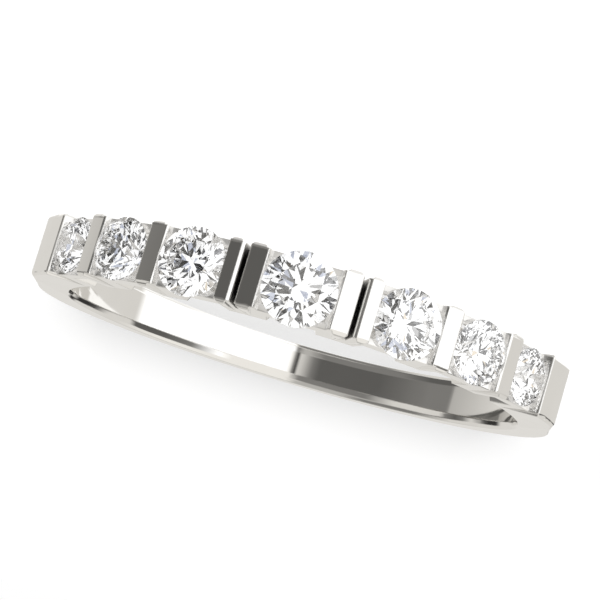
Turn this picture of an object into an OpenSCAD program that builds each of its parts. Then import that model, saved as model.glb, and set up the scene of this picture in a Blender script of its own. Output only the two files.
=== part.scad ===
// Band set with seven round brilliant stones between upright bars.
// The ring lies on its side, as it rests: the finger bore runs along Z and the head faces -Y.
// The origin is below the middle of the ring, at the level on which it lies.

/* [Finger bore] */
// Radius of the finger bore
bore_r = 8.65; // [7.8:0.05:10.2]

/* [Head] */
// Radius of the curve that the bar tops follow
head_r = 9.84; // [9.6:0.01:10.1]
// Height of the bar tops above the bore at the middle of the head
head_wall = 2.11; // [1.95:0.01:2.3]
// Width of the band at the head
band_w = 2.34; // [2.1:0.01:2.5]
// Rounding of the bar ends and of the band's outer edges at the head
end_round = 0.18; // [0.1:0.01:0.3]
// Amount by which the sides of the head draw in from the bar tops to the bore
side_draw = 0.115; // [0.05:0.005:0.16]

/* [Shoulders] */
// Radius of the shoulders' tops beside the end stones
shoulder_r = 10.4; // [10.2:0.01:10.5]
// Width across the flats on the ring's two sides
flat_w = 19.68; // [19.4:0.02:19.76]

/* [Shank] */
// Radius of the shank's outer curve
shank_r = 9.88; // [9.7:0.01:9.95]
// Distance of that curve's centre in front of the bore's centre
shank_shift = 0.24; // [0.15:0.01:0.35]
// Width of the band at the back
back_w = 1.54; // [1.3:0.01:1.8]
// Width that the taper of the shank would reach beside the bore's centre
mid_w = 2.126; // [1.9:0.002:2.2]
// Depth across the width of the rounding along the bore's edges
comfort_depth = 0.26; // [0.2:0.01:0.42]
// Rise of that rounding into the wall
comfort_rise = 0.15; // [0.1:0.01:0.3]

/* [Stones] */
// Diameter of the middle stone
stone_d1 = 2.64; // [2.4:0.01:2.8]
// Diameter of the two stones next to it
stone_d2 = 2.48; // [2.2:0.01:2.6]
// Diameter of the next two stones
stone_d3 = 2.3; // [2.0:0.01:2.4]
// Diameter of the two end stones
stone_d4 = 2.1; // [1.8:0.01:2.2]
// Depth of the girdles below the bar tops
girdle_drop = 0.19; // [0.12:0.01:0.26]
// Free gap around each stone in its seat
stone_gap = 0.02; // [0.01:0.005:0.04]
// Width of the table, as a share of the diameter
table_share = 0.57; // [0.52:0.01:0.62]
// Angle of the crown's main facets
crown_angle = 34; // [31:0.5:36]
// Angle of the pavilion's main facets
pavilion_angle = 41; // [40:0.1:42]
// Thickness of the girdle, as a share of the diameter
girdle_share = 0.03; // [0.02:0.005:0.05]

/* [Bars] */
// Width of the two bars beside the middle stone
bar_w1 = 0.56; // [0.45:0.01:0.65]
// Width of the bars behind the narrow slits
bar_w2 = 0.42; // [0.35:0.01:0.5]
// Width of the bars between the second and third stones
bar_w3 = 0.53; // [0.4:0.01:0.6]
// Width of the bars between the third and end stones
bar_w4 = 0.5; // [0.4:0.01:0.6]
// Width of the narrow slit between the paired bars, at the top
slit_w = 0.33; // [0.28:0.01:0.4]
// Depth of the slit
slit_depth = 1.15; // [0.8:0.05:1.3]
// Free width beside the middle stone, between its edge and the bar's top edge
side_room1 = 0.1; // [0.06:0.01:0.16]
// The same beside the second stones, towards the middle
near_room2 = 0.03; // [0.02:0.01:0.1]
// The same beside the third stones, towards the middle
near_room3 = 0.15; // [0.04:0.01:0.2]
// The same beside the end stones, towards the middle
near_room4 = 0.14; // [0.02:0.01:0.18]
// The same beside the second stones, away from the middle
far_room2 = 0.13; // [0.06:0.01:0.18]
// The same beside the third stones, away from the middle
far_room3 = 0.22; // [0.1:0.01:0.3]
// The same beside the end stones, away from the middle
far_room4 = 0.04; // [0.02:0.01:0.14]
// Depth that each stone's edge reaches into the bars
bite = 0.04; // [0.02:0.005:0.06]
// Slope along the bars' top edges, both ways
bevel = 0.12; // [0.06:0.01:0.15]
// Easing of the bars' corners, and step from the bar ends down to the seats' sides
corner = 0.11; // [0.06:0.01:0.14]

/* [Seats] */
// Radius at which the seats' floors lie under the stones
floor_r = 9.14; // [9.0:0.01:9.16]
// Width of the rims that close the seats towards the two sides
rim_w = 0.34; // [0.25:0.01:0.4]
// Depth of the rims' tops below the girdles
rim_drop = 0.2; // [0.15:0.01:0.3]
// Depth of the side recesses between the bars' feet
recess_depth = 0.34; // [0.2:0.01:0.4]
// Distance by which these recesses sit nearer to the middle than the stones
recess_shift = 0.18; // [0:0.01:0.25]
// Half width of the recesses, as a share of the stone's radius
recess_share = 0.66; // [0.5:0.01:0.72]

/* [Hidden] */
$fn = 96;
far = 30;

// Distance of the head curve's centre in front of the bore's centre
head_shift = bore_r + head_wall - head_r;
// Radius of the bar tops at an angle from the head's middle
function top_r(a) = head_shift * cos(a) + sqrt(pow(head_r, 2) - pow(head_shift * sin(a), 2));
// Angle taken by a width along the head's curve near an angle
function arc(w, a) = w / top_r(a) * 180 / PI;

stone_r = [stone_d1 / 2, stone_d2 / 2, stone_d3 / 2, stone_d4 / 2];
near_room = [side_room1, near_room2, near_room3, near_room4];
far_room = [side_room1, far_room2, far_room3, far_room4];

// Angles from the middle outward: edges of the bars and centres of the stones
a_bar1_in = arc(stone_r[0] + side_room1, 4);
a_bar1_out = a_bar1_in + arc(bar_w1, 9);
a_bar2_in = a_bar1_out + arc(slit_w, 11);
a_bar2_out = a_bar2_in + arc(bar_w2, 13);
a_stone2 = a_bar2_out + arc(stone_r[1] + near_room2, 18);
a_bar3_in = a_stone2 + arc(stone_r[1] + far_room2, 25);
a_bar3_out = a_bar3_in + arc(bar_w3, 30);
a_stone3 = a_bar3_out + arc(stone_r[2] + near_room3, 35);
a_bar4_in = a_stone3 + arc(stone_r[2] + far_room3, 43);
a_bar4_out = a_bar4_in + arc(bar_w4, 48);
a_stone4 = a_bar4_out + arc(stone_r[3] + near_room4, 52);
stone_a = [0, a_stone2, a_stone3, a_stone4];
slit_a = (a_bar1_out + a_bar2_in) / 2;

// Slope of the shank's sides, and where it starts
back_y = shank_r - shank_shift;
taper = (mid_w - back_w) / 2 / back_y;
taper_y = -(band_w - mid_w) / 2 / taper;

// Place of the bore's centre above and behind the origin
lift = stone_d1 / 2;
front_y = top_r(0) - girdle_drop
    + stone_r[0] * (girdle_share + (1 - table_share) * tan(crown_angle));
set_back = (front_y - back_y) / 2;

// Half section of a disc with rounded rims
module rounded_half(r, h, f) {
    translate([0, -h])
        square([r - f, 2 * h]);
    translate([0, -h + f])
        square([r, 2 * (h - f)]);
    for (m = [0, 1])
        mirror([0, m])
            translate([r - f, h - f])
                intersection() {
                    circle(r = f);
                    square(f);
                }
}

// Disc with rounded rims around a centre in front of the bore
module disc(r, shift)
    translate([0, -shift, 0])
        rotate_extrude()
            rounded_half(r, band_w / 2, end_round);

// Shoulders: the disc of their tops between the flats on the two sides
module shoulders()
    intersection() {
        disc(shoulder_r, 0);
        rotate([90, 0, 0])
            linear_extrude(far)
                for (m = [0, 1])
                    mirror([m, 0])
                        rounded_half(flat_w / 2, band_w / 2, end_round);
    }

// Keeps the space between the sloping sides of the shank
module side_slopes()
    rotate([90, 0, 90])
        translate([0, 0, -far])
            linear_extrude(2 * far)
                polygon([
                    [-far, -band_w],
                    [taper_y, -band_w],
                    [taper_y, -band_w / 2],
                    [back_y, -back_w / 2],
                    [far, -back_w / 2],
                    [far, back_w / 2],
                    [back_y, back_w / 2],
                    [taper_y, band_w / 2],
                    [taper_y, band_w],
                    [-far, band_w]
                ]);

// Rounding along one edge of the bore, following the slope of the side
module comfort_edge()
    rotate([-atan(taper * 1.15), 0, 0])
        rotate_extrude()
            polygon([
                [0, mid_w / 2 - comfort_depth * 1.55 + 0.03],
                [bore_r - comfort_rise * 0.3, mid_w / 2 - comfort_depth * 1.55 + 0.03],
                [bore_r + comfort_rise * 0.3, mid_w / 2 - comfort_depth * 0.45 + 0.03],
                [bore_r + comfort_rise, mid_w / 2 + 0.04],
                [bore_r + comfort_rise + 1, mid_w / 2 + 1.04],
                [0, mid_w / 2 + 1.04]
            ]);

// Slope of one side of the head, drawing in towards the bore
module side_cone() {
    rise = top_r(0) - end_round - bore_r;
    rotate_extrude()
        polygon([
            [0, band_w / 2 - side_draw * 1.5],
            [bore_r - rise / 2, band_w / 2 - side_draw * 1.5],
            [bore_r + rise * 1.5, band_w / 2 + side_draw / 2],
            [bore_r + rise * 1.5, band_w],
            [0, band_w]
        ]);
}

// Section of one stone's pocket, from above the bars down to a floor
module pocket_section(i, low) {
    r = stone_r[i];
    t = top_r(stone_a[i]);
    g = t - girdle_drop;
    n = near_room[i] + bite;
    f = far_room[i] + bite;
    e = r - bite;
    m = e - (e - r * 0.66) * (g - low) / (g - floor_r);
    polygon([
        [-e - n, far],
        [-e - n, t + 0.01],
        [-e - n * 0.4, t - min(bevel, n * 0.8)],
        [-e, g],
        [-m, low],
        [m, low],
        [e, g],
        [e + f * 0.4, t - min(bevel, f * 0.8)],
        [e + f, t + 0.01],
        [e + f, far]
    ]);
}

// Section of the narrow slit between two bars
module slit_section() {
    t = top_r(slit_a);
    polygon([
        [-slit_w / 2, far],
        [-slit_w / 2, t - 0.01],
        [-slit_w / 2 + 0.04, t - 0.05],
        [-slit_w / 2 + 0.05, t - slit_depth],
        [slit_w / 2 - bevel, t - slit_depth],
        [slit_w / 2 - bevel, t - bevel],
        [slit_w / 2, t - 0.01],
        [slit_w / 2, far]
    ]);
}

// Puts a section drawn across the head at an angle and runs it along Z, from side to side
module along_z(a, long = far)
    rotate([0, 0, a])
        translate([0, 0, -long / 2])
            linear_extrude(long)
                mirror([0, 1])
                    children();

// Recesses between the feet of the bars, one on each side of the band
module side_recess(i, s) {
    a = s * stone_a[i];
    w = stone_r[i] * (i == 3 ? recess_share - 0.14 : recess_share);
    d = i == 0 ? 0 : -s * recess_shift;
    h = band_w / 2;
    rotate([90, 0, a])
        translate([d, 0, bore_r - 0.5])
            for (m = [0, 1])
                mirror([0, m, 0])
                    linear_extrude(floor_r - bore_r + 0.9)
                        polygon([
                            [-w, h + 0.2],
                            [-w, h - recess_depth * 0.35],
                            [-w + 0.14, h - recess_depth],
                            [w - 0.14, h - recess_depth],
                            [w, h - recess_depth * 0.35],
                            [w, h + 0.2]
                        ]);
}

// Space between the ends of two bars, from the near edge to the far one, with the bars' corners eased
module between_ends(near, wide) {
    h = band_w / 2;
    translate([0, 0, bore_r - 0.5])
        for (m = [0, 1])
            mirror([0, m, 0])
                linear_extrude(far)
                    polygon([
                        [-near - corner * 1.3, h + 0.2],
                        [-near - corner * 1.3, h + 0.01],
                        [-near - corner * 0.45, h - corner * 0.28],
                        [-near, h - corner],
                        [wide, h - corner],
                        [wide + corner * 0.45, h - corner * 0.28],
                        [wide + corner * 1.3, h + 0.01],
                        [wide + corner * 1.3, h + 0.2]
                    ]);
}

// Small notch on the sides between the feet of the paired bars
module foot_notch(s)
    rotate([90, 0, s * (slit_a - 1.5)])
        translate([0, 0, bore_r - 0.5])
            for (m = [0, 1])
                mirror([0, m, 0])
                    linear_extrude(top_r(slit_a) - slit_depth - bore_r + 0.6)
                        polygon([
                            [-0.12, band_w / 2 + 0.05],
                            [0, band_w / 2 - 0.12],
                            [0.12, band_w / 2 + 0.05]
                        ]);

// Room for a stone, wider than the stone by the gap
module stone_room(i) {
    r = stone_r[i];
    c = stone_gap;
    hg = stone_r[i] * girdle_share;
    translate([0, 0, top_r(stone_a[i]) - girdle_drop])
        rotate_extrude()
            polygon([
                [0, -hg - r * tan(pavilion_angle) - c * 1.6],
                [r + c, -hg - c * 0.6],
                [r + c, hg + c * 0.6],
                [r * table_share, hg + r * (1 - table_share) * tan(crown_angle) + c * 1.6],
                [0, hg + r * (1 - table_share) * tan(crown_angle) + c * 1.6]
            ]);
}

// Turns a piece drawn around Z, outward along +Z, to its angle on the head
module on_head(a)
    rotate([0, 0, a])
        rotate([90, 0, 0])
            children();

// Stands the ring, drawn around its own centre, in its place above the origin
module placed()
    translate([0, set_back, lift])
        children();

module band()
    color("silver")
        placed()
        difference() {
            intersection() {
                union() {
                    disc(head_r, head_shift);
                    disc(shank_r, shank_shift);
                    shoulders();
                }
                side_slopes();
            }
            cylinder(r = bore_r, h = far, center = true);
            for (m = [0, 1])
                mirror([0, 0, m]) {
                    comfort_edge();
                    side_cone();
                }
            for (i = [0:3], s = (i == 0 ? [1] : [-1, 1])) {
                along_z(s * stone_a[i])
                    mirror([s < 0 ? 1 : 0, 0])
                        pocket_section(i, top_r(stone_a[i]) - girdle_drop - rim_drop);
                along_z(s * stone_a[i], band_w - 2 * rim_w)
                    mirror([s < 0 ? 1 : 0, 0])
                        pocket_section(i, floor_r);
                side_recess(i, s);
                rotate([90, 0, s * stone_a[i]])
                    mirror([s < 0 ? 1 : 0, 0, 0])
                        between_ends(stone_r[i] + near_room[i], stone_r[i] + far_room[i]);
                on_head(s * stone_a[i])
                    stone_room(i);
            }
            for (s = [-1, 1]) {
                along_z(s * slit_a)
                    mirror([s < 0 ? 1 : 0, 0])
                        slit_section();
                foot_notch(s);
                rotate([90, 0, s * slit_a])
                    between_ends(slit_w / 2, slit_w / 2);
            }
        }

// Corner points of a round brilliant stone of unit radius, ring by ring
function ring(r, n, turn, z) = [for (k = [0:n - 1]) [r * cos(turn + k * 360 / n), r * sin(turn + k * 360 / n), z]];

// Height of a flat facet through three points, above a point in plan
function facet_z(p, q, s, x, y) =
    let (n = cross(q - p, s - p))
        p[2] - (n[0] * (x - p[0]) + n[1] * (y - p[1])) / n[2];

module brilliant(r) {
    hg = girdle_share;
    zt = hg + (1 - table_share) * tan(crown_angle);
    zp = -hg - tan(pavilion_angle);
    // Star points lie on the main facets, half way down from the table
    rs = (table_share * cos(22.5) + 1) / 2;
    zs = hg + (1 - rs * cos(22.5)) * tan(crown_angle);
    // Lower halves reach three quarters of the way to the point
    rl = 0.24;
    zl = -hg - (1 - rl * cos(22.5)) * tan(pavilion_angle);
    table = ring(table_share / cos(22.5) * 0.97, 8, 22.5, zt);
    star = ring(rs, 8, 0, 0);
    n = 32;
    // Points of the girdle's upper edge on the planes of the upper halves
    tb = [for (k = [0:7]) [table[k][0], table[k][1], zt]];
    st = [for (k = [0:7]) [rs * cos(k * 45 + 45), rs * sin(k * 45 + 45), zs]];
    gm = [for (k = [0:15]) [cos(k * 22.5), sin(k * 22.5), hg]];
    lw = [for (k = [0:7]) [rl * cos(k * 45 + 45), rl * sin(k * 45 + 45), zl]];
    up = [for (k = [0:15])
        let (a = k * 22.5 + 11.25, s = st[(floor((k + 1) / 2) + 7) % 8], p = gm[k], q = gm[(k + 1) % 16])
            [cos(a), sin(a), facet_z(p, q, s, cos(a), sin(a))]];
    dn = [for (k = [0:15])
        let (a = k * 22.5 + 11.25, s = lw[(floor((k + 1) / 2) + 7) % 8],
            p = [gm[k][0], gm[k][1], -hg], q = [gm[(k + 1) % 16][0], gm[(k + 1) % 16][1], -hg])
            [cos(a), sin(a), facet_z(p, q, s, cos(a), sin(a))]];
    pts = concat(
        tb,
        st,
        [for (k = [0:15], j = [0, 1]) j == 0 ? gm[k] : up[k]],
        [for (k = [0:15], j = [0, 1]) j == 0 ? [gm[k][0], gm[k][1], -hg] : dn[k]],
        lw,
        [[0, 0, zp]]
    );
    u = 16;
    d = 48;
    l = 80;
    c = 88;
    faces = concat(
        [[7, 6, 5, 4, 3, 2, 1, 0]],
        // Stars
        [for (k = [0:7]) [k, (k + 1) % 8, 8 + k]],
        // Main facets of the crown, between two star points
        [for (k = [0:7]) [k, 8 + k, u + (4 * k + 2) % 32]],
        [for (k = [0:7]) [k, u + (4 * k + 2) % 32, 8 + (k + 7) % 8]],
        // Upper halves
        [for (k = [0:15]) let (s = 8 + (floor((k + 1) / 2) + 7) % 8) [s, u + 2 * k + 1, u + 2 * k]],
        [for (k = [0:15]) let (s = 8 + (floor((k + 1) / 2) + 7) % 8) [s, u + (2 * k + 2) % 32, u + 2 * k + 1]],
        // Girdle
        [for (k = [0:31]) [u + k, u + (k + 1) % 32, d + (k + 1) % 32]],
        [for (k = [0:31]) [u + k, d + (k + 1) % 32, d + k]],
        // Lower halves
        [for (k = [0:15]) let (s = l + (floor((k + 1) / 2) + 7) % 8) [s, d + 2 * k, d + 2 * k + 1]],
        [for (k = [0:15]) let (s = l + (floor((k + 1) / 2) + 7) % 8) [s, d + 2 * k + 1, d + (2 * k + 2) % 32]],
        // Main facets of the pavilion
        [for (k = [0:7]) [c, d + (4 * k + 2) % 32, l + k]],
        [for (k = [0:7]) [c, l + (k + 7) % 8, d + (4 * k + 2) % 32]]
    );
    scale(r)
        polyhedron(points = pts, faces = faces, convexity = 4);
}

// One stone by its place on the head, -3 to 3 from -X to +X
module stone(k)
    color("aliceblue")
        placed()
        on_head((k < 0 ? -1 : 1) * stone_a[abs(k)])
            translate([0, 0, top_r(stone_a[abs(k)]) - girdle_drop])
                brilliant(stone_r[abs(k)]);

band();
stone(-3);  // stone_1
stone(-2);  // stone_2
stone(-1);  // stone_3
stone(0);  // stone_4
stone(1);  // stone_5
stone(2);  // stone_6
stone(3);  // stone_7
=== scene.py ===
"""Looks of the ring: polished white metal, clear stones, and the studio that they mirror."""
import math

import bpy
import bmesh
from mathutils import Matrix, Vector

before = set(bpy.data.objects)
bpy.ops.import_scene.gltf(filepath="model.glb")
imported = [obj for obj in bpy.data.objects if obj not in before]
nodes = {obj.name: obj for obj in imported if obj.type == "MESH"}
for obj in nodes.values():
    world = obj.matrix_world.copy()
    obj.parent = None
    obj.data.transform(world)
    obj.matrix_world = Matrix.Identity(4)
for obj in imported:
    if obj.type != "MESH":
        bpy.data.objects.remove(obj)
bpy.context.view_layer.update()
scene = bpy.context.scene
MM = 0.001


# Node helpers
def feed(tree, socket, value):
    """Links a socket to another one, or sets its number or colour."""
    if isinstance(value, bpy.types.NodeSocket):
        tree.links.new(value, socket)
    else:
        socket.default_value = value


def node(tree, kind, inputs=None, **settings):
    """A new node: its settings first, and then what its inputs hold or are linked to."""
    made = tree.nodes.new(kind)
    for key, value in settings.items():
        setattr(made, key, value)
    for key, value in (inputs or {}).items():
        feed(tree, made.inputs[key], value)
    return made


def math_node(tree, how, *values):
    return node(tree, "ShaderNodeMath", dict(enumerate(values)), operation=how).outputs[0]


def rise(tree, value, at, soft):
    """0 below `at` and 1 above it, smoothly over `soft` on each side."""
    step = node(tree, "ShaderNodeMapRange",
                {"Value": value, "From Min": at - soft, "From Max": at + soft},
                interpolation_type="SMOOTHSTEP")
    return step.outputs["Result"]


def fall(tree, value, at, soft):
    """1 below `at` and 0 above it, smoothly over `soft` on each side."""
    return math_node(tree, "SUBTRACT", 1.0, rise(tree, value, at, soft))


def spread(tree, share, low, high):
    """A share from 0 to 1, as a number from `low` to `high`."""
    stretched = node(tree, "ShaderNodeMapRange", {"Value": share, "To Min": low, "To Max": high})
    return stretched.outputs["Result"]


def mixed(tree, share, start, end):
    """A colour that turns from `start` to `end` as `share` goes from 0 to 1."""
    mix = node(tree, "ShaderNodeMix", {"Factor": share, "A": start, "B": end}, data_type="RGBA")
    return mix.outputs["Result"]


def object_place(tree):
    """Where a point of the surface lies, in the object's own frame."""
    return node(tree, "ShaderNodeTexCoord").outputs["Object"]


def noise(tree, where, scale, detail):
    cloud = node(tree, "ShaderNodeTexNoise", {"Vector": where, "Scale": scale, "Detail": detail})
    return cloud.outputs[0]


def openness(tree, reach, **settings):
    """1 where nothing stands around a point, and less the more surface lies within `reach`."""
    seen = node(tree, "ShaderNodeAmbientOcclusion", {"Distance": reach}, samples=8, **settings)
    return seen.outputs["AO"]


def fill_ramp(ramp, stops):
    """Gives a colour ramp its stops, each a place from 0 to 1 and a colour, in rising order."""
    points = ramp.color_ramp.elements
    while len(points) < len(stops):
        points.new(0.5)
    for point, (place, colour) in zip(points, stops):
        point.position = place
        point.color = colour


# The studio around the ring
# Seven tones of sheet, flag and lamp, hung in bands by elevation from below upward. Each band says
# where it starts, how softly, and the tone at each azimuth (0 is where the camera stands, + is
# towards +X). Angles are in degrees.
BLACK, DARK, DIM, GREY, PALE, BRIGHT, WHITE = 0.04, 0.12, 0.22, 0.5, 0.75, 0.95, 1.35
WALLS = [
    ("under the table", -90, 1, [
        (-180, BRIGHT), (-150, WHITE), (-60, WHITE), (-25, BRIGHT), (0, PALE), (55, PALE),
        (85, DIM), (130, DIM), (180, BRIGHT)]),
    ("table's edge", -62, 8, [
        (-180, BRIGHT), (-150, WHITE), (-115, PALE), (-108, PALE), (-104, WHITE), (-3.5, WHITE),
        (-1, DIM), (0.5, DIM), (2, GREY), (6, GREY), (16, DIM), (65, DIM), (85, DARK),
        (110, DARK), (118, PALE), (180, PALE)]),
    ("sheets in front", -13, 2.5, [
        (-180, PALE), (-95, PALE), (-91, WHITE), (-4.5, WHITE), (-2.5, BRIGHT), (-1, BLACK),
        (0, BLACK), (1.5, PALE), (4.5, GREY), (8, DIM), (12, DARK), (45, DARK), (75, DIM),
        (89.5, DIM), (91.5, GREY), (130, PALE), (180, PALE)]),
    ("room behind", 2, 2, [
        (-180, PALE), (-175, PALE), (-170, BLACK), (-140, BLACK), (-122, DARK), (-112, GREY),
        (-99, PALE), (-95, DARK), (-78, DARK), (-62, GREY), (-50, WHITE), (-38, BRIGHT),
        (0, BRIGHT), (3, DIM), (12, DARK), (25, DARK), (45, DIM), (60, PALE), (88, PALE),
        (93, DIM), (98, DARK), (125, BLACK), (136, BLACK), (141, PALE), (180, PALE)]),
    ("room behind, higher", 12, 2.5, [
        (-180, PALE), (-101, PALE), (-97, DARK), (-78, DARK), (-60, DIM), (-43, WHITE),
        (-36, BRIGHT), (-3, BRIGHT), (3, DIM), (43, DIM), (60, PALE), (89, PALE),
        (93, DIM), (100, DARK), (106, DIM), (112, PALE), (180, PALE)]),
    ("lamps above", 36, 6, [
        (-180, GREY), (-135, PALE), (-110, BRIGHT), (-5, BRIGHT), (2, PALE), (10, GREY),
        (60, GREY), (75, DIM), (104, DIM), (122, PALE), (180, GREY)]),
]
WARMTH = 0.03  # how much redder than plain grey a tone is
WARM_SHARES = (1, 0.2, -1.3)  # how the warmth falls on red, green and blue


def tone(level):
    """A light level as a colour: slightly warm, and plain above 1."""
    warmth = 0.0 if level > 1 else WARMTH
    red, green, blue = (level * (1 + share * warmth) for share in WARM_SHARES)
    return (red, green, blue, 1.0)


def make_world():
    world = bpy.data.worlds.new("studio")
    world.use_nodes = True
    tree = world.node_tree
    tree.nodes.clear()
    towards = node(tree, "ShaderNodeTexCoord").outputs["Generated"]
    x, y, z = node(tree, "ShaderNodeSeparateXYZ", {0: towards}).outputs
    to_degrees = 180 / math.pi
    minus_y = math_node(tree, "MULTIPLY", y, -1.0)
    azimuth = math_node(tree, "MULTIPLY", math_node(tree, "ARCTAN2", x, minus_y), to_degrees)
    elevation = math_node(tree, "MULTIPLY", math_node(tree, "ARCSINE", z), to_degrees)
    turn = math_node(tree, "ADD", math_node(tree, "DIVIDE", azimuth, 360.0), 0.5)
    colour = None
    for name, start, soft, stops in WALLS:
        ramp = node(tree, "ShaderNodeValToRGB", {0: turn}, label=name)
        fill_ramp(ramp, [(0.5 + degrees / 360, tone(level)) for degrees, level in stops])
        if colour is None:
            colour = ramp.outputs[0]
        else:
            colour = mixed(tree, rise(tree, elevation, start, soft), colour, ramp.outputs[0])
    back = node(tree, "ShaderNodeBackground", {"Color": colour, "Strength": 1.0})
    node(tree, "ShaderNodeOutputWorld", {"Surface": back.outputs[0]})
    scene.world = world
    # the walls are only mirrored, and throw no light on the floor
    world.cycles_visibility.diffuse = False


make_world()


# Camera
def camera():
    """The photograph's view: a long lens a little above the finger hole's rim, rolled over."""
    lens_mm, sensor_mm, picture_px = 166.10, 36, 600
    distance = 103.459 * MM
    azimuth, elevation, roll = (math.radians(v) for v in (-2.444, 7.809, 196.547))
    # the middle of the finger bore, halfway up the ring
    target = Vector((0, 0.676226, 1.32)) * MM
    # where the target shows, from the picture's middle
    right_px, below_px = 0.217, 33.988
    focal_px = lens_mm / sensor_mm * picture_px
    back = Vector((math.sin(azimuth) * math.cos(elevation),
                   -math.cos(azimuth) * math.cos(elevation),
                   math.sin(elevation)))
    forward = -back
    level_right = forward.cross(Vector((0, 0, 1))).normalized()
    level_up = level_right.cross(forward)
    right = level_right * math.cos(roll) + level_up * math.sin(roll)
    up = -level_right * math.sin(roll) + level_up * math.cos(roll)
    aim = (forward - right * (right_px / focal_px) + up * (below_px / focal_px)).normalized()
    right = (right - aim * right.dot(aim)).normalized()
    up = right.cross(aim)
    data = bpy.data.cameras.new("camera")
    data.lens, data.sensor_width = lens_mm, sensor_mm
    data.clip_start, data.clip_end = 0.005, 10
    cam = bpy.data.objects.new("camera", data)
    scene.collection.objects.link(cam)
    turned = Matrix((right, up, -aim)).transposed().to_4x4()
    cam.matrix_world = Matrix.Translation(target + back * distance) @ turned
    scene.camera = cam


camera()


# Materials
def new_material(name):
    made = bpy.data.materials.new(name)
    made.use_nodes = True
    made.node_tree.nodes.clear()
    return made, made.node_tree


def surface(tree, kind, inputs):
    """Ends a material's tree in a shader and the output that shows it."""
    shader = node(tree, kind, inputs)
    node(tree, "ShaderNodeOutputMaterial", {"Surface": shader.outputs[0]})


BORE_Y = 0.676 * MM  # the finger bore's middle, behind the origin
SLIT_TURN = math.radians(11.4)  # around the bore, from the head's middle to the middle of each slit
SLIT_HALF = math.radians(1.1)  # half of a slit's width, around the bore
SLIT_SOFT = math.radians(0.15)
HOLLOW_REACH = 0.9 * MM  # how far around a point the metal's own walls count
BESIDE_REACH = 0.45 * MM  # how far around it the metal and the stones together count
# the openness under which a point is inside a slit, in a seat, or right beside a stone
SLIT_OPENNESS, SEAT_OPENNESS, BESIDE_OPENNESS, OPENNESS_SOFT = 0.2, 0.55, 0.66, 0.12
EASED_EDGE = 0.07 * MM
POLISH = (0.02, 0.07)  # the least and the most roughness of the polished metal
SATIN = 0.4  # how much rougher the seats are
PAINTED_GLOW = 0.46  # painted glow of the metal beside the stones, in place of the light that they throw back
METAL_DEEPER, METAL_LIGHTER = (0.815, 0.805, 0.785, 1), (0.865, 0.857, 0.838, 1)
# the metal beside the stones, darkened so that it mirrors less, and the colour of its painted glow
BESIDE_DIMMED_METAL = (0.3, 0.295, 0.285, 1)
BESIDE_PAINTED_GLOW = (1.0, 0.98, 0.95, 1)
# painted shade: the colour of the slits' insides
SLIT_SHADE_PAINT = (0.03, 0.03, 0.03, 1)


def white_metal():
    material, tree = new_material("white_metal")
    where = object_place(tree)

    # a faint difference in tone and polish, from casting and finishing
    cloud = noise(tree, where, scale=900, detail=4)
    base = mixed(tree, cloud, METAL_DEEPER, METAL_LIGHTER)
    polish = spread(tree, cloud, *POLISH)

    # painted shade: the two slits between the paired bars are coloured near black inside, where
    # their shade falls
    hollow = openness(tree, HOLLOW_REACH, only_local=True)
    x, y, _ = node(tree, "ShaderNodeSeparateXYZ", {0: where}).outputs
    ahead = math_node(tree, "SUBTRACT", BORE_Y, y)
    turn = math_node(tree, "ABSOLUTE", math_node(tree, "ARCTAN2", x, ahead))
    off = math_node(tree, "ABSOLUTE", math_node(tree, "SUBTRACT", turn, SLIT_TURN))
    in_slit = fall(tree, off, SLIT_HALF, SLIT_SOFT)
    painted_slit_shade = math_node(tree, "MULTIPLY", in_slit, fall(tree, hollow, SLIT_OPENNESS, OPENNESS_SOFT))

    # painted light: the metal right beside the stones, outside the slits, is darkened so that it
    # mirrors less, and it glows faintly in place of the light that the stones throw back
    near = fall(tree, openness(tree, BESIDE_REACH), BESIDE_OPENNESS, OPENNESS_SOFT)
    lit = math_node(tree, "MULTIPLY", near, math_node(tree, "SUBTRACT", 1.0, in_slit))
    base = mixed(tree, lit, base, BESIDE_DIMMED_METAL)

    # the seats below the stones, which stay satin
    in_seat = fall(tree, hollow, SEAT_OPENNESS, OPENNESS_SOFT)
    satin = math_node(tree, "MULTIPLY", in_seat, SATIN)

    # edges eased by hand polishing
    eased = node(tree, "ShaderNodeBevel", {"Radius": EASED_EDGE}, samples=8)

    surface(tree, "ShaderNodeBsdfPrincipled", {
        "Metallic": 1.0,
        # painted shade in the slits
        "Base Color": mixed(tree, painted_slit_shade, base, SLIT_SHADE_PAINT),
        "Roughness": math_node(tree, "ADD", polish, satin),
        # painted glow of the metal beside the stones
        "Emission Color": BESIDE_PAINTED_GLOW,
        "Emission Strength": math_node(tree, "MULTIPLY", lit, PAINTED_GLOW),
        "Normal": eased.outputs[0],
    })
    return material


def stone():
    material, tree = new_material("stone")
    # hardly any colour and an almost perfect polish, neither quite even through the stone
    cloud = noise(tree, object_place(tree), scale=700, detail=2)
    surface(tree, "ShaderNodeBsdfPrincipled", {
        "Base Color": mixed(tree, cloud, (0.97, 0.975, 0.985, 1), (1, 1, 1, 1)),
        "Roughness": spread(tree, cloud, low=0.0, high=0.006),
        "IOR": 2.42,
        "Transmission Weight": 1.0,
    })
    return material


METAL = white_metal()
STONE = stone()
for name, obj in nodes.items():
    obj.data.materials.clear()
    obj.data.materials.append(STONE if name.startswith("stone") else METAL)


# Floor, backdrop, dome and lamps
SIDES = 96  # of the round floor and backdrop
FLOOR_R = 0.92
DIM_MIDDLE_R, DIM_MIDDLE_SOFT = 0.06, 0.035  # the floor's dimmer middle
MIDDLE_GLOW, OUTER_GLOW = 0.7, 0.3  # the floor's light, and what the rest has on top of it
BACKDROP_FOOT_R, BACKDROP_BEND_R, BACKDROP_TOP = 0.62, 0.28, 0.9
BEND_STEPS = 12
DOME_R = 0.3
PANEL_SCALE = 12.0
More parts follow.
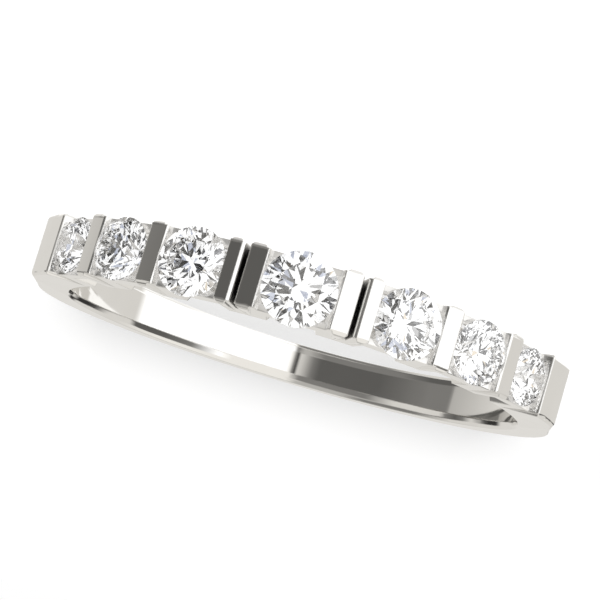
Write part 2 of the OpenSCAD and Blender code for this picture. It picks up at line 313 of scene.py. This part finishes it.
# the dome's panels, each colour with the share of them that comes before it
DOME_TONES = [
    (0.0, (0.008, 0.008, 0.008, 1)),
    (0.25, (0.13, 0.13, 0.14, 1)),
    (0.33, (0.55, 0.55, 0.55, 1)),
    (0.37, (1.35, 1.35, 1.35, 1)),
    (0.974, (0.84, 0.72, 0.55, 1)),
    (0.983, (0.58, 0.62, 0.74, 1)),
]


def add_object(name, bm, material):
    """Turns mesh code into an object of the scene, with its material."""
    mesh = bpy.data.meshes.new(name)
    bm.to_mesh(mesh)
    bm.free()
    mesh.materials.append(material)
    obj = bpy.data.objects.new(name, mesh)
    scene.collection.objects.link(obj)
    return obj


def unseen_by(obj, *rays):
    for ray in rays:
        setattr(obj, "visible_" + ray, False)


def floor():
    """A lit table, a little dimmer in the middle so that the soft shade of the ring shows."""
    material, tree = new_material("floor")
    from_middle = node(tree, "ShaderNodeVectorMath", {0: object_place(tree)}, operation="LENGTH")
    outer = rise(tree, from_middle.outputs["Value"], DIM_MIDDLE_R, DIM_MIDDLE_SOFT)
    surface(tree, "ShaderNodeBsdfPrincipled", {
        "Base Color": (0.3, 0.3, 0.3, 1),
        "Roughness": 0.6,
        "Specular IOR Level": 0.1,
        "Emission Color": (1, 1, 1, 1),
        "Emission Strength": math_node(tree, "MULTIPLY_ADD", outer, OUTER_GLOW, MIDDLE_GLOW),
    })
    bm = bmesh.new()
    bmesh.ops.create_circle(bm, cap_ends=True, segments=SIDES, radius=FLOOR_R)
    obj = add_object("floor", bm, material)
    unseen_by(obj, "glossy", "transmission")


def backdrop():
    """A plain sheet that rises all round the floor, which the camera alone sees."""
    material, tree = new_material("backdrop")
    surface(tree, "ShaderNodeEmission", {"Strength": 1.0})
    profile = []
    for step in range(BEND_STEPS + 1):
        bend = math.radians(step * 90 / BEND_STEPS)
        profile.append((BACKDROP_FOOT_R + BACKDROP_BEND_R * math.sin(bend),
                        BACKDROP_BEND_R - BACKDROP_BEND_R * math.cos(bend)))
    profile.append((BACKDROP_FOOT_R + BACKDROP_BEND_R, BACKDROP_TOP))
    turns = [2 * math.pi * j / SIDES for j in range(SIDES)]
    bm = bmesh.new()
    rings = [[bm.verts.new((r * math.cos(turn), r * math.sin(turn), z)) for turn in turns]
             for r, z in profile]
    for lower, upper in zip(rings, rings[1:]):
        for j in range(SIDES):
            k = (j + 1) % SIDES
            bm.faces.new((lower[j], lower[k], upper[k], upper[j]))
    wall = add_object("backdrop", bm, material)
    unseen_by(wall, "diffuse", "glossy", "transmission", "volume_scatter", "shadow")


def sparkle_dome():
    """Bright panels and dark gaps far around the ring, seen only through the stones."""
    material, tree = new_material("sparkle_dome")
    cells = node(tree, "ShaderNodeTexVoronoi", {"Vector": object_place(tree), "Scale": PANEL_SCALE})
    pick = node(tree, "ShaderNodeSeparateColor", {0: cells.outputs["Color"]})
    level = node(tree, "ShaderNodeValToRGB", {0: pick.outputs[0]})
    level.color_ramp.interpolation = "CONSTANT"
    fill_ramp(level, DOME_TONES)
    surface(tree, "ShaderNodeEmission", {"Color": level.outputs[0]})
    bm = bmesh.new()
    bmesh.ops.create_uvsphere(bm, u_segments=48, v_segments=24, radius=DOME_R)
    dome = add_object("sparkle_dome", bm, material)
    unseen_by(dome, "camera", "diffuse", "glossy", "volume_scatter", "shadow")


def lamp(name, place, size, watts):
    """A round lamp that faces the origin, seen neither by the camera nor in a mirror or stone."""
    data = bpy.data.lights.new(name, "AREA")
    data.shape, data.size, data.energy = "DISK", size, watts
    obj = bpy.data.objects.new(name, data)
    scene.collection.objects.link(obj)
    obj.location = place
    obj.rotation_euler = Vector(place).to_track_quat("Z", "Y").to_euler()
    unseen_by(obj, "glossy", "transmission", "camera")


floor()
backdrop()
sparkle_dome()
lamp("overhead", place=(0, 0.02, 0.5), size=0.5, watts=0.3)
lamp("front", place=(-0.02, -0.45, 0.034), size=0.05, watts=26.0)

scene.view_settings.view_transform = "Standard"
scene.view_settings.look = "None"

# light is mirrored many times over inside a stone before it comes out
paths = scene.cycles
paths.max_bounces = 32
paths.transmission_bounces = 32
paths.glossy_bounces = 16
